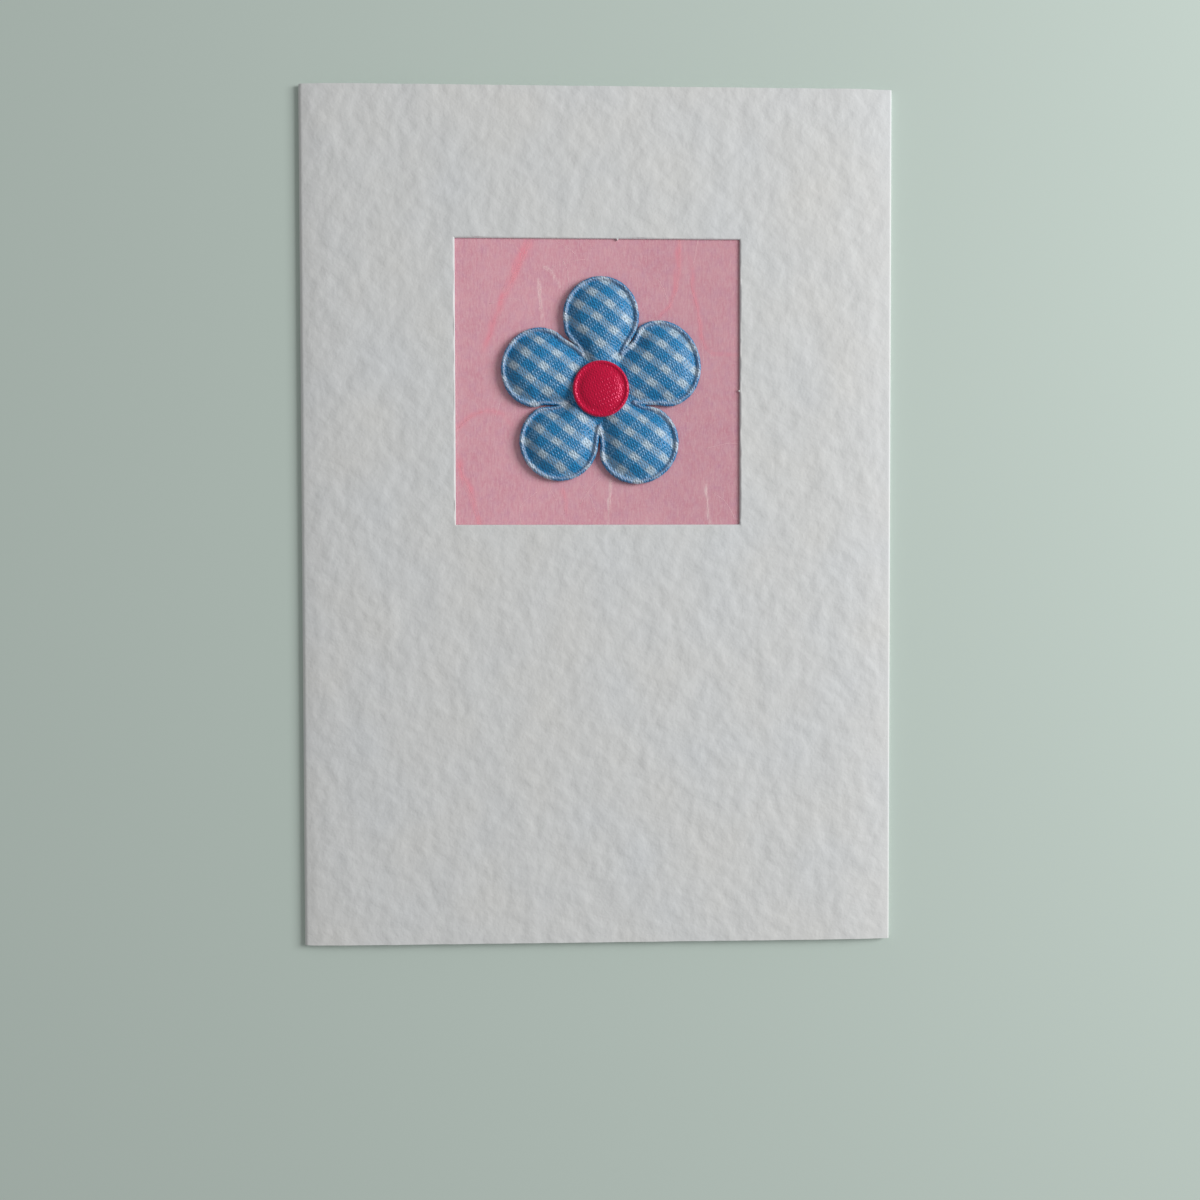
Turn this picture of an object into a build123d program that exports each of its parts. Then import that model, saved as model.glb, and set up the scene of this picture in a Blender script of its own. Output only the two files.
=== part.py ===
from build123d import *
import os
from math import asin, atan2, degrees, hypot, radians, sin

os.makedirs("parts", exist_ok=True)

# Card blank: one sheet of hammered card folded twice, lying closed on its back leaf
card_width = 105.0
card_height = 152.0
board_thickness = 0.35
leaf_gap = 0.3  # between the lining and the back leaf
lining_setback = 3.0  # from the spine to the lining's free edge
window_side = 50.5
window_drop = 26.7  # from the card's top edge to the window
window_edge_radius = 0.25  # the die presses the front edge of its cut round

# Mulberry paper behind the window, and the tape that holds it
paper_thickness = 0.1
paper_margin = 1.0  # paper beyond the tape
tape_thickness = 0.1
tape_width = 6.0
tape_setback = 1.0  # from the window's edge to the tape

# Padded flower, stuck a little below the middle of the window
petal_count = 5
petal_bearing = 90.0
petal_reach = 19.1  # from the flower's middle to the cut edge at a petal's tip
petal_end_radius = 6.9
petal_flare = 25.8  # angle between a petal's straight side and its axis
petal_slit_end = 7.4  # from the flower's middle to the end of the cut between two petals
petal_slit_width = 0.2
petal_join_radius = 7.2  # inside this the petals are one
flower_shift_x = 0.25
flower_shift_y = -0.85
plate_thickness = 0.45  # pressed layers of fabric and backing
rim_width = 0.8
rim_height = 0.75
rim_chamfer = 0.25
groove_width = 0.25
puff_height = 2.2
hub_radius = 6.2
hub_height = 1.3
glue_radius = 5.0
glue_thickness = 0.3

# Padded round in the middle of the flower
centre_radius = 4.95
centre_shift_x = 0.2
centre_shift_y = -0.55
centre_plate_thickness = 0.35
centre_rim_width = 0.7
centre_rim_chamfer = 0.2
centre_rim_height = 0.7
centre_groove_width = 0.2
centre_dome_height = 0.65
centre_shoulder_height = 0.45
centre_shoulder_inset = 0.85
seat_height = 1.45  # flat that the round presses into the petals, above the flower's underside
seat_clearance = 0.1

# Levels of the stack, from the back leaf up
back_top = board_thickness
lining_bottom = back_top + leaf_gap
lining_top = lining_bottom + board_thickness
paper_top = lining_top + paper_thickness
front_bottom = paper_top + tape_thickness
front_top = front_bottom + board_thickness
flower_bottom = paper_top + glue_thickness

# Places on the card's face
window_y = card_height / 2 - window_drop - window_side / 2
tape_side = window_side + 2 * (tape_setback + tape_width)
paper_side = tape_side + 2 * paper_margin
flower_plane = Plane((flower_shift_x, window_y + flower_shift_y, flower_bottom))
centre_origin = flower_plane.from_local_coords((centre_shift_x, centre_shift_y, seat_height))

# Folds, measured on the middle of the sheet's thickness
front_middle = front_top - board_thickness / 2
lining_middle = lining_top - board_thickness / 2
back_middle = back_top - board_thickness / 2
spine_radius = (front_middle - back_middle) / 2
fore_edge_radius = (front_middle - lining_middle) / 2
spine_x = spine_radius + board_thickness / 2 - card_width / 2
fore_edge_x = card_width / 2 - board_thickness / 2 - fore_edge_radius

# Petal form shared by the rim, the groove and the padding
petal_end_distance = petal_reach - petal_end_radius
petal_end_sweep = 180 + 2 * petal_flare
slit_length = petal_end_distance - petal_slit_end


def petal_apex(end_radius):
    return petal_end_distance - end_radius / sin(radians(petal_flare))


# Cuts between the petals, made wider by an inset
def petal_slits(inset):
    with BuildSketch() as slits:
        with PolarLocations(petal_slit_end + slit_length / 2, petal_count, petal_bearing + 180 / petal_count):
            SlotCenterToCenter(slit_length, petal_slit_width + 2 * inset)
    return slits.sketch


# Cut edge of the flower, or a line that runs inside it by an inset
def flower_outline(inset):
    with BuildSketch() as petal:
        with BuildLine():
            end = CenterArc((petal_end_distance, 0), petal_end_radius, -petal_end_sweep / 2, petal_end_sweep)
            Polyline(end @ 1, (petal_apex(petal_end_radius), 0), end @ 0)
        make_face()
    with BuildSketch() as outline:
        with PolarLocations(0, petal_count, petal_bearing):
            add(petal.sketch)
        add(petal_slits(0), mode=Mode.SUBTRACT)
        Circle(petal_join_radius)
        if inset:
            offset(amount=-inset)
    return outline.sketch


# Folded sheet: back leaf, spine, front leaf, fore edge, lining
with BuildPart() as card_blank:
    with BuildSketch(Plane.XZ):
        with BuildLine():
            back_leaf = Line((card_width / 2, back_middle), (spine_x, back_middle))
            spine = CenterArc((spine_x, back_middle + spine_radius), spine_radius, 270, -180)
            front_leaf = Line(spine @ 1, (fore_edge_x, front_middle))
            fore_edge = CenterArc((fore_edge_x, lining_middle + fore_edge_radius), fore_edge_radius, 90, -180)
            Line(fore_edge @ 1, (lining_setback - card_width / 2, lining_middle))
        trace(line_width=board_thickness)
    extrude(amount=card_height / 2, both=True)
    with BuildSketch(Plane.XY.offset(front_top)):
        with Locations((0, window_y)):
            Rectangle(window_side, window_side)
    extrude(amount=-board_thickness, mode=Mode.SUBTRACT)
    window_edges = card_blank.edges(Select.LAST).group_by(Axis.Z)[-1]
    fillet(window_edges, window_edge_radius)
card_blank.part.label = "card_blank"
export_step(card_blank.part, "parts/card_blank.step")

# Sheet of mulberry paper between the front leaf and the lining
with BuildPart() as backing_paper:
    with BuildSketch(Plane.XY.offset(lining_top)):
        with Locations((0, window_y)):
            Rectangle(paper_side, paper_side)
    extrude(amount=paper_thickness)
backing_paper.part.label = "backing_paper"
export_step(backing_paper.part, "parts/backing_paper.step")

# Four strips of double-sided tape round the window, under the front leaf
strip_reach = window_side / 2 + tape_setback + tape_width / 2
short_strip = window_side + 2 * tape_setback
tape_strips = {
    "tape_top": (0, strip_reach, tape_side, tape_width),
    "tape_bottom": (0, -strip_reach, tape_side, tape_width),
    "tape_left": (-strip_reach, 0, tape_width, short_strip),
    "tape_right": (strip_reach, 0, tape_width, short_strip),
}
for strip_name, (strip_x, strip_y, strip_width, strip_length) in tape_strips.items():
    with BuildPart() as tape:
        with BuildSketch(Plane.XY.offset(paper_top)):
            with Locations((strip_x, window_y + strip_y)):
                Rectangle(strip_width, strip_length)
        extrude(amount=tape_thickness)
    tape.part.label = strip_name
    export_step(tape.part, f"parts/{strip_name}.step")

# Adhesive dot that lifts the flower off the paper
with BuildPart() as glue_dot:
    with BuildSketch(flower_plane):
        Circle(glue_radius)
    extrude(amount=-glue_thickness)
glue_dot.part.label = "glue_dot"
export_step(glue_dot.part, "parts/glue_dot.step")

# Padding of one petal, lying along X: a ball and the cone that touches it, cut off at the foot,
# so that the foot has the petal's own outline
puff_end_radius = petal_end_radius - rim_width - groove_width
puff_apex = petal_apex(puff_end_radius)
puff_length = petal_end_distance - puff_apex
ball_radius = (puff_end_radius**2 + puff_height**2) / (2 * puff_height)
ball_depth = ball_radius - puff_height
axis_dip = degrees(atan2(ball_depth, puff_length))
crown_rise = degrees(asin(ball_radius / hypot(puff_length, ball_depth))) - axis_dip
with BuildPart() as petal_puff:
    with BuildSketch(Plane.XZ):
        with BuildLine():
            ball = CenterArc(
                (petal_end_distance, -ball_depth), ball_radius, 90 + crown_rise, -90 - crown_rise - axis_dip
            )
            Polyline(ball @ 1, (puff_apex, 0), ball @ 0)
        make_face()
    revolve(axis=Axis((puff_apex, 0, 0), (puff_length, 0, -ball_depth)))
    split(bisect_by=Plane.XY, keep=Keep.TOP)

# Flower: pressed plate, chamfered rim, groove, five padded petals and the padding under the round
with BuildPart() as gingham_flower:
    with BuildSketch(flower_plane):
        add(flower_outline(0))
        add(flower_outline(rim_width), mode=Mode.SUBTRACT)
    extrude(amount=rim_height)
    rim_edges = gingham_flower.edges().group_by(Axis.Z)[-1]
    chamfer(rim_edges, rim_chamfer)
    with BuildSketch(flower_plane):
        add(flower_outline(0))
    extrude(amount=plate_thickness)
    with Locations(flower_plane.offset(plate_thickness)):
        with PolarLocations(0, petal_count, petal_bearing):
            add(petal_puff.part)
    hub_plane = Plane(flower_plane.offset(plate_thickness).origin, x_dir=(1, 0, 0), z_dir=(0, -1, 0))
    with BuildSketch(hub_plane):
        with BuildLine():
            hub = TangentArc((0, hub_height), (hub_radius, 0), tangent=(1, 0))
            Polyline(hub @ 1, (0, 0), hub @ 0)
        make_face()
    revolve(axis=Axis(flower_plane.origin, (0, 0, 1)))
    with BuildSketch(flower_plane.offset(plate_thickness)):
        add(petal_slits(rim_width + groove_width))
        add(flower_outline(rim_width), mode=Mode.INTERSECT)
    extrude(amount=puff_height, mode=Mode.SUBTRACT)
    with BuildSketch(Plane(centre_origin)):
        Circle(centre_radius + seat_clearance)
    extrude(amount=puff_height, mode=Mode.SUBTRACT)
gingham_flower.part.label = "gingham_flower"
export_step(gingham_flower.part, "parts/gingham_flower.step")

# Padded round: plate, rim, groove and a low dome on a sloping shoulder
with BuildPart() as flower_centre:
    dome_radius = centre_radius - centre_rim_width - centre_groove_width
    shoulder_radius = dome_radius - centre_shoulder_inset
    with BuildSketch(Plane(centre_origin, x_dir=(1, 0, 0), z_dir=(0, -1, 0))):
        with BuildLine():
            rim = Polyline(
                (0, 0),
                (centre_radius, 0),
                (centre_radius, centre_rim_height),
                (centre_radius - centre_rim_width, centre_rim_height),
                (centre_radius - centre_rim_width, centre_plate_thickness),
                (dome_radius, centre_plate_thickness),
                (shoulder_radius, centre_plate_thickness + centre_shoulder_height),
            )
            dome_top = centre_plate_thickness + centre_dome_height
            crown = TangentArc((0, dome_top), rim @ 1, tangent=(1, 0))
            Line(crown @ 0, rim @ 0)
        make_face()
    revolve(axis=Axis(centre_origin, (0, 0, 1)))
    rim_level = centre_origin.Z + centre_rim_height
    rim_edges = flower_centre.edges().filter_by_position(Axis.Z, rim_level, rim_level)
    chamfer(rim_edges, centre_rim_chamfer)
flower_centre.part.label = "flower_centre"
export_step(flower_centre.part, "parts/flower_centre.step")
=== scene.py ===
import math
import random

import bmesh
import bpy
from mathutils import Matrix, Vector, noise
from mathutils.bvhtree import BVHTree


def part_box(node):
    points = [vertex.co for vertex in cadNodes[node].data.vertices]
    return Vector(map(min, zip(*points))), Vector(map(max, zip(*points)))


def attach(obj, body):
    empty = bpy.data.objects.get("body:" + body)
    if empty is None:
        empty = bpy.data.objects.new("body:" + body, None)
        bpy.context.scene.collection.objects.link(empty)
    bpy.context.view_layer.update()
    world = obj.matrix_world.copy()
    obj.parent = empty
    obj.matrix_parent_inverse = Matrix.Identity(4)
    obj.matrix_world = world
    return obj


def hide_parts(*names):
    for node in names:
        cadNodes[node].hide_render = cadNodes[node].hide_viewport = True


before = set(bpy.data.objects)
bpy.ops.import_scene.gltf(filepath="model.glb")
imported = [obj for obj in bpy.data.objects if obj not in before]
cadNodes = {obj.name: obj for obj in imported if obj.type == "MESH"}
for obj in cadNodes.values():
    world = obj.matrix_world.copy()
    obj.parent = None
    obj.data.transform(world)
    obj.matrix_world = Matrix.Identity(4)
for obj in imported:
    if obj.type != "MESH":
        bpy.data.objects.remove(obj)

mm = 0.001
tight = 1e-4  # mm, tolerance on one coordinate
loose = 1e-3  # mm, tolerance on sums and on bent levels
scene = bpy.context.scene
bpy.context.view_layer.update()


def nodeBox(name):
    low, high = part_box(name)
    return Vector(low) / mm, Vector(high) / mm


def clamped(value):
    return min(max(value, 0.0), 1.0)


def smoothStep(low, high, value):
    t = clamped((value - low) / (high - low))
    return t * t * (3 - 2 * t)


def hexToLinear(code):
    parts = [int(code[i:i + 2], 16) / 255 for i in (1, 3, 5)]
    return [c / 12.92 if c <= 0.04045 else ((c + 0.055) / 1.055) ** 2.4 for c in parts] + [1.0]


def darker(colour, share):
    return [part * share for part in colour[:3]] + [1.0]


# Shader nodes
def addNode(tree, kind, settings=None, inputs=None):
    node = tree.nodes.new(kind)
    for name, value in (settings or {}).items():
        setattr(node, name, value)
    for socket, value in (inputs or {}).items():
        if isinstance(value, bpy.types.NodeSocket):
            tree.links.new(value, node.inputs[socket])
        else:
            node.inputs[socket].default_value = value
    return node


def calculate(tree, operation, *values):
    return addNode(tree, "ShaderNodeMath", {"operation": operation}, dict(enumerate(values))).outputs[0]


def mapRange(tree, value, source, target=(0.0, 1.0), kind="LINEAR"):
    return addNode(tree, "ShaderNodeMapRange", {"interpolation_type": kind}, {
        "Value": value, "From Min": source[0], "From Max": source[1],
        "To Min": target[0], "To Max": target[1]}).outputs[0]


def mixColour(tree, share, first, second):
    return addNode(tree, "ShaderNodeMix", {"data_type": "RGBA"}, {
        0: share, 6: first, 7: second}).outputs[2]


def noiseAt(tree, where, scale, detail, more=None):
    return addNode(tree, "ShaderNodeTexNoise", None, {
        "Vector": where, "Scale": scale, "Detail": detail, **(more or {})}).outputs["Fac"]


def bumpFrom(tree, height, depth, normal=None):
    inputs = {"Height": height, "Distance": depth * mm, "Strength": 1.0}
    if normal is not None:
        inputs["Normal"] = normal
    return addNode(tree, "ShaderNodeBump", None, inputs).outputs[0]


def newMaterial(name):
    material = bpy.data.materials.new(name)
    material.use_nodes = True
    material.node_tree.nodes.clear()
    return material, material.node_tree


def finishSurface(tree, inputs):
    surface = addNode(tree, "ShaderNodeBsdfPrincipled", None, inputs)
    addNode(tree, "ShaderNodeOutputMaterial", None, {"Surface": surface.outputs[0]})


def coordsInMm(tree, centre=(0, 0, 0)):
    where = addNode(tree, "ShaderNodeTexCoord")
    scaled = addNode(tree, "ShaderNodeVectorMath", {"operation": "SCALE"}, {
        0: where.outputs["Object"], "Scale": 1 / mm})
    return addNode(tree, "ShaderNodeMapping", {"vector_type": "TEXTURE"}, {
        "Vector": scaled.outputs[0], "Location": centre}).outputs[0]


def wander(tree, where, size, amount):
    drift = addNode(tree, "ShaderNodeTexNoise", None, {"Vector": where, "Scale": 1 / size, "Detail": 1.0})
    level = addNode(tree, "ShaderNodeVectorMath", {"operation": "SUBTRACT"}, {
        0: drift.outputs["Color"], 1: (0.5, 0.5, 0.5)})
    return addNode(tree, "ShaderNodeVectorMath", {"operation": "MULTIPLY_ADD"}, {
        0: level.outputs[0], 1: [2 * amount] * 3, 2: where}).outputs[0]


# Meshes and pieces
def vertsIn(geom):
    return [g for g in geom if isinstance(g, bmesh.types.BMVert)]


def openEdges(bm):
    return [e for e in bm.edges if e.is_boundary]


def meshFrom(bm, name):
    bmesh.ops.scale(bm, vec=(mm, mm, mm), verts=bm.verts)
    mesh = bpy.data.meshes.new(name)
    bm.to_mesh(mesh)
    bm.free()
    return mesh


def evaluatedMesh(piece):
    return bpy.data.meshes.new_from_object(piece.evaluated_get(bpy.context.evaluated_depsgraph_get()))


def addPiece(name, mesh, material, replaced=None, sharpAngle=None):
    piece = bpy.data.objects.new(name, mesh)
    scene.collection.objects.link(piece)
    mesh.materials.clear()
    mesh.materials.append(material)
    mesh.shade_smooth()
    if sharpAngle:
        mesh.set_sharp_from_angle(angle=math.radians(sharpAngle))
    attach(piece, "root")
    if replaced:
        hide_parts(replaced)
    return piece


# Camera: almost square on to the card, from the height that gives the photo's perspective
view = {
    "place": (-8.19, -8.66, 232.74),  # mm
    "turn": (-1.471, -2.098, -0.125),  # degrees
    "lens": 39.0,
    "sensor": 36.0,
    "nearest": 0.01,  # m
}
cameraData = bpy.data.cameras.new("camera")
cameraData.lens = view["lens"]
cameraData.sensor_width = view["sensor"]
cameraData.clip_start = view["nearest"]
camera = bpy.data.objects.new("camera", cameraData)
camera.location = Vector(view["place"]) * mm
camera.rotation_euler = [math.radians(a) for a in view["turn"]]
scene.collection.objects.link(camera)
scene.camera = camera
print("camera placed")


# Hammered card: uncoated white board, embossed between rollers
hammered = {
    "warm": "#E0DFDB",
    "cool": "#DADEE1",
    "cloudSize": 16.0,  # mm
    "toothSize": 0.22,  # paper tooth
    "toothDepth": 0.006,
    "dimpleSize": 0.75,
    "dimpleRange": (0.35, 0.65),  # the dimples' sides are steep and their floors flat
    "dimpleDepth": 0.015,
}


def hammeredCard(h):
    material, tree = newMaterial("hammered card")  # matt white, faintly warm and cool, with soft dimples
    where = coordsInMm(tree)
    cloud = noiseAt(tree, where, 1 / h["cloudSize"], 2.0)
    tint = mixColour(tree, cloud, hexToLinear(h["warm"]), hexToLinear(h["cool"]))
    dimples = noiseAt(tree, where, 1 / h["dimpleSize"], 1.0)
    pressed = mapRange(tree, dimples, h["dimpleRange"], kind="SMOOTHSTEP")
    tooth = noiseAt(tree, where, 1 / h["toothSize"], 2.0)
    wide = bumpFrom(tree, pressed, h["dimpleDepth"])
    fine = bumpFrom(tree, tooth, h["toothDepth"], wide)
    finishSurface(tree, {
        "Base Color": tint, "Roughness": 0.8, "IOR": 1.5, "Specular IOR Level": 0.25, "Normal": fine})
    return material


# Card blank: one sheet, its fold line drawn as a closed section and pulled along the card's height
blank = {
    "board": 0.35,
    "liningSetback": 3.0,
    "windowSide": 50.5,
    "windowDrop": 26.7,
    "foldSteps": 12,
    "gridSize": 0.4,
    "edgeRound": 0.28,  # the die presses the window's edge round
    "relief": 0.1,  # depth of the dimples, mm
    "reliefLevel": 0.2,  # taken off, so that the relief lies about the sheet's own level
    "plainEdge": 1.6,  # mm over which the dimples fade out towards the folds
    "dimpleSize": 1.9,
    "dentTurns": (27, 68, 11),  # degrees, so that no direction stands out: middle, fine and wide dents
    "dentSeeds": (4.4, 7.6, 2.5),
    "fineDivide": 2.1,  # how much smaller the fine dents are
    "fineShare": 0.45,
    "wideDivide": 0.45,  # under 1, so the wide dents are larger
    "softShare": 0.5,
    "stampShare": 0.4,  # dents with a clear edge
    "stampEdge": 0.3,
    "bendWidth": 12.0,  # the front bends down towards its folds
    "spineBend": 0.3,
    "spineCrease": 0.14,
    "creaseWidth": 3.0,
    "foreBend": 0.16,  # front leaf alone
    "foreCurl": 0.26,  # front leaf and lining together
    "nicks": ((1, 0, -1.5), (0, 1, 3.5)),  # joints that the die left: side of the window, then mm along it
    "nickDepth": 0.3,
    "nickWidth": 0.22,
    "nickRoot": 0.05,  # mm inside the board
    "nickHeight": 0.8,  # of the board
}


def drawSection(bm, start, steps, foldSteps):
    tip = bm.verts.new(start)
    first = tip
    for step in steps:
        if step[0] == "run":
            tip = bmesh.ops.extrude_vert_indiv(bm, verts=[tip])["verts"][0]
            tip.co = (step[1], start[1], step[2])
        else:
            bend = bmesh.ops.spin(bm, geom=[tip], cent=(step[1], start[1], step[2]), axis=(0, 1, 0),
                                  dvec=(0, 0, 0), angle=math.radians(step[3]), steps=foldSteps)
            tip = vertsIn(bend["geom_last"])[0]
    bm.edges.new((tip, first))


def pullSection(bm, rows):
    ring = bm.edges[:]
    bmesh.ops.contextual_create(bm, geom=ring)
    for here, there in zip(rows, rows[1:]):
        made = bmesh.ops.extrude_edge_only(bm, edges=ring)["geom"]
        bmesh.ops.translate(bm, verts=vertsIn(made), vec=(0, there - here, 0))
        ring = [g for g in made if isinstance(g, bmesh.types.BMEdge) and
                all(abs(v.co.y - there) < tight for v in g.verts)]
    bmesh.ops.contextual_create(bm, geom=ring)


def cutWindow(bm, bottom, top, level):
    hole = []
    for face in bm.faces:
        middle = face.calc_center_median()
        if abs(middle.x) < 1 and bottom < middle.y < top and middle.z > level - tight:
            hole.append(face)
    rims = [edge for face in hole for edge in face.edges]
    bmesh.ops.delete(bm, geom=hole, context="FACES_ONLY")
    bmesh.ops.bridge_loops(bm, edges=rims)


def gridFront(bm, columns, rows, level, gridSize):
    for axis, stops in ((0, columns), (1, rows)):
        for here, there in zip(stops, stops[1:]):
            run = []
            for edge in bm.edges:
                a, c = (v.co for v in edge.verts)
                ends = sorted((a[axis], c[axis]))
                if min(a.z, c.z) > level - tight and abs(ends[0] - here) + abs(ends[1] - there) < loose:
                    run.append(edge)
            bmesh.ops.subdivide_edges(bm, edges=run, cuts=round((there - here) / gridSize) - 1)


def roundWindow(bm, half, bottom, top, level, edgeRound):
    lip = []
    for edge in bm.edges:
        middle = (edge.verts[0].co + edge.verts[1].co) / 2
        onSides = abs(abs(middle.x) - half) < loose and bottom < middle.y < top
        onEnds = min(abs(middle.y - bottom), abs(middle.y - top)) < loose and abs(middle.x) < half
        if min(v.co.z for v in edge.verts) > level - tight and (onSides or onEnds):
            lip.append(edge)
    bmesh.ops.bevel(bm, geom=lip, offset=edgeRound, offset_type="OFFSET", affect="EDGES",
                    segments=3, profile=0.5, material=-1)


def turnedNoise(x, y, turn, size, seed):
    angle = math.radians(turn)
    across = x * math.cos(angle) - y * math.sin(angle)
    along = x * math.sin(angle) + y * math.cos(angle)
    return noise.noise((across / size, along / size, seed))


def dimple(b, x, y):
    size = b["dimpleSize"]
    middleTurn, fineTurn, wideTurn = b["dentTurns"]
    middleSeed, fineSeed, wideSeed = b["dentSeeds"]
    fine = turnedNoise(x, y, fineTurn, size / b["fineDivide"], fineSeed)
    dent = turnedNoise(x, y, middleTurn, size, middleSeed) + b["fineShare"] * fine
    wide = turnedNoise(x, y, wideTurn, size / b["wideDivide"], wideSeed)
    stamp = smoothStep(-b["stampEdge"], b["stampEdge"], dent)
    return b["softShare"] * dent + b["stampShare"] * stamp + wide


def bendLeaf(b, co, spineX, foreX, levels):
    backTop, liningBottom, liningTop, frontBottom = levels
    near = clamped((spineX + b["bendWidth"] - co.x) / b["bendWidth"])
    crease = clamped((spineX + b["creaseWidth"] - co.x) / b["creaseWidth"])
    far = clamped((co.x - foreX + b["bendWidth"]) / b["bendWidth"])
    spineShare = clamped((co.z - backTop) / (frontBottom - backTop))
    leafShare = clamped((co.z - liningTop) / (frontBottom - liningTop))
    curl = b["foreCurl"] * far ** 3 if co.z > liningBottom - loose else 0
    co.z -= (b["spineBend"] * near ** 2 + b["spineCrease"] * crease ** 2) * spineShare
    co.z -= b["foreBend"] * far ** 2 * leafShare + curl


def tearNicks(b, bm, half, windowY, level):
    for sideX, sideY, along in b["nicks"]:
        out = Vector((sideX, sideY, 0))
        run = Vector((sideY, sideX, 0))
        foot = out * (half + b["nickRoot"]) + run * along + Vector((0, windowY, level))
        corners = (foot + run * b["nickWidth"], foot - run * b["nickWidth"],
                   foot - out * (b["nickDepth"] + b["nickRoot"]))
        tip = bmesh.ops.contextual_create(bm, geom=[bm.verts.new(corner) for corner in corners])["faces"]
        made = bmesh.ops.extrude_face_region(bm, geom=tip)["geom"]
        bmesh.ops.translate(bm, verts=vertsIn(made), vec=(0, 0, b["nickHeight"] * b["board"]))


def foldedCard(b):
    low, high = nodeBox("card_blank")
    board = b["board"]
    frontTop = high.z
    frontBottom = frontTop - board
    liningTop = nodeBox("backing_paper")[0].z
    liningBottom = liningTop - board
    liningEnd = low.x + b["liningSetback"]
    spine = frontTop / 2
    foreEdge = (frontTop - liningTop + board) / 2
    spineX = low.x + spine
    foreX = high.x - foreEdge
    bendLeft = spineX + b["bendWidth"]
    bendRight = foreX - b["bendWidth"]
    half = b["windowSide"] / 2
    windowTop = high.y - b["windowDrop"]
    windowBottom = windowTop - b["windowSide"]
    steps = [
        ("run", spineX, 0),
        ("bend", spineX, spine, 180),
        ("run", bendLeft, frontTop),
        ("run", -half, frontTop),
        ("run", half, frontTop),
        ("run", bendRight, frontTop),
        ("run", foreX, frontTop),
        ("bend", foreX, frontTop - foreEdge, 180),
        ("run", bendRight, liningBottom),
        ("run", liningEnd, liningBottom),
        ("run", liningEnd, liningTop),
        ("run", bendRight, liningTop),
        ("run", foreX, liningTop),
        ("bend", foreX, frontTop - foreEdge, -180),
        ("run", bendRight, frontBottom),
        ("run", half, frontBottom),
        ("run", -half, frontBottom),
        ("run", bendLeft, frontBottom),
        ("run", spineX + b["creaseWidth"], frontBottom),
        ("run", spineX, frontBottom),
        ("bend", spineX, spine, -180),
        ("run", high.x, board),
    ]
    columns = (spineX, bendLeft, -half, half, bendRight, foreX)
    rows = (low.y, windowBottom, windowTop, high.y)
    bm = bmesh.new()
    drawSection(bm, (high.x, low.y, 0), steps, b["foldSteps"])
    pullSection(bm, rows)
    cutWindow(bm, windowBottom, windowTop, frontBottom)
    gridFront(bm, columns, rows, frontTop, b["gridSize"])  # carries the dimples
    bmesh.ops.recalc_face_normals(bm, faces=bm.faces)
    roundWindow(bm, half, windowBottom, windowTop, frontTop, b["edgeRound"])
    for v in bm.verts:
        if v.co.z > frontTop - tight:
            inside = smoothStep(0, b["plainEdge"], min(v.co.x - spineX, foreX - v.co.x))
            v.co.z += b["relief"] * inside * (dimple(b, v.co.x, v.co.y) - b["reliefLevel"])
        bendLeaf(b, v.co, spineX, foreX, (board, liningBottom, liningTop, frontBottom))
    tearNicks(b, bm, half, (windowTop + windowBottom) / 2, frontBottom)
    bmesh.ops.recalc_face_normals(bm, faces=bm.faces)
    return meshFrom(bm, "foldedCard")


cardPiece = addPiece("foldedCard", foldedCard(blank), hammeredCard(hammered),
                     "card_blank", sharpAngle=35)
print("card folded:", len(cardPiece.data.polygons), "faces")


# Mulberry paper: a pink sheet with a fine upright grain and soft streaks of coral fibre
mulberry = {
    "coral": "#F797A8",
    "streakPale": "#FBDADC",
    "streakStrength": 1.6,
    "pink": "#E8AAB7",
    "deep": "#DD98A9",
    "mauve": "#D59CB4",
    "pale": "#F0BFC6",
    "sheetGrid": 0.35,  # mm
    "grainWidth": 0.3,
    "grainLength": 1.4,
    "grainDepth": 0.022,
    "grainRange": (0.55, 0.95),  # part of the noise that shows, here and below
    "grainShare": 0.7,
    "speckSize": 0.35,
    "speckShare": 0.45,
    "blotchSize": 1.5,
    "blotchRange": (0.42, 0.75),
    "blotchShare": 0.6,
    "cloudSize": 6.0,
    "cloudRange": (0.3, 0.7),
    "paintedShadeRun": (-12.0, 20.0),  # mm from the card's middle
    "paintedShadeRight": 0.87,  # painted shade: the paper is drawn a little darker towards the right
}


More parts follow.
